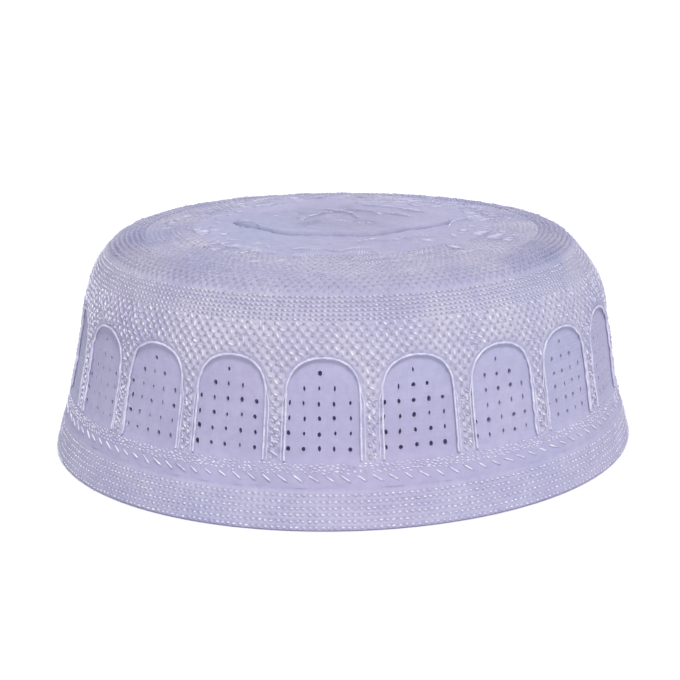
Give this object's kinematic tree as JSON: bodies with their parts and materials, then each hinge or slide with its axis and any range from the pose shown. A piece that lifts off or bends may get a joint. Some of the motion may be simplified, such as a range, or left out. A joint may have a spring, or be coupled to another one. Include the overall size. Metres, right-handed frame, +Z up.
{
  "type": "embroidered prayer cap",
  "caption": "Deep round cloth cap with a flat crown, a sloping pierced band of arched panels outlined in cord, and a folded hem.",
  "frame": {"origin": "on the table under the middle of the cap", "axes": "+Z up through the crown, +Y along the cap's longer way, +X across it"},
  "size_m": [0.1808, 0.193, 0.0731],
  "materials": {
    "crown_cloth": "pale lilac cotton, quilted and stitched, matt",
    "band_cloth": "pale lilac cotton with paler raised stitches, matt",
    "hem_cloth": "pale lilac cotton, folded and run-stitched, matt",
    "satin_cord": "paler lilac satin thread, soft sheen"
  },
  "bodies": {
    "root": {"crown": "crown_cloth", "side_band": "band_cloth", "hem_band": "hem_cloth", "arch_cord_01": "satin_cord", "arch_cord_02": "satin_cord", "arch_cord_03": "satin_cord", "arch_cord_04": "satin_cord", "arch_cord_05": "satin_cord", "arch_cord_06": "satin_cord", "arch_cord_07": "satin_cord", "arch_cord_08": "satin_cord", "arch_cord_09": "satin_cord", "arch_cord_10": "satin_cord", "arch_cord_11": "satin_cord", "arch_cord_12": "satin_cord", "arch_cord_13": "satin_cord", "arch_cord_14": "satin_cord", "arch_cord_15": "satin_cord", "arch_cord_16": "satin_cord", "arch_cord_17": "satin_cord", "arch_cord_18": "satin_cord", "arch_cord_19": "satin_cord", "arch_cord_20": "satin_cord"}
  },
  "joints": []
}
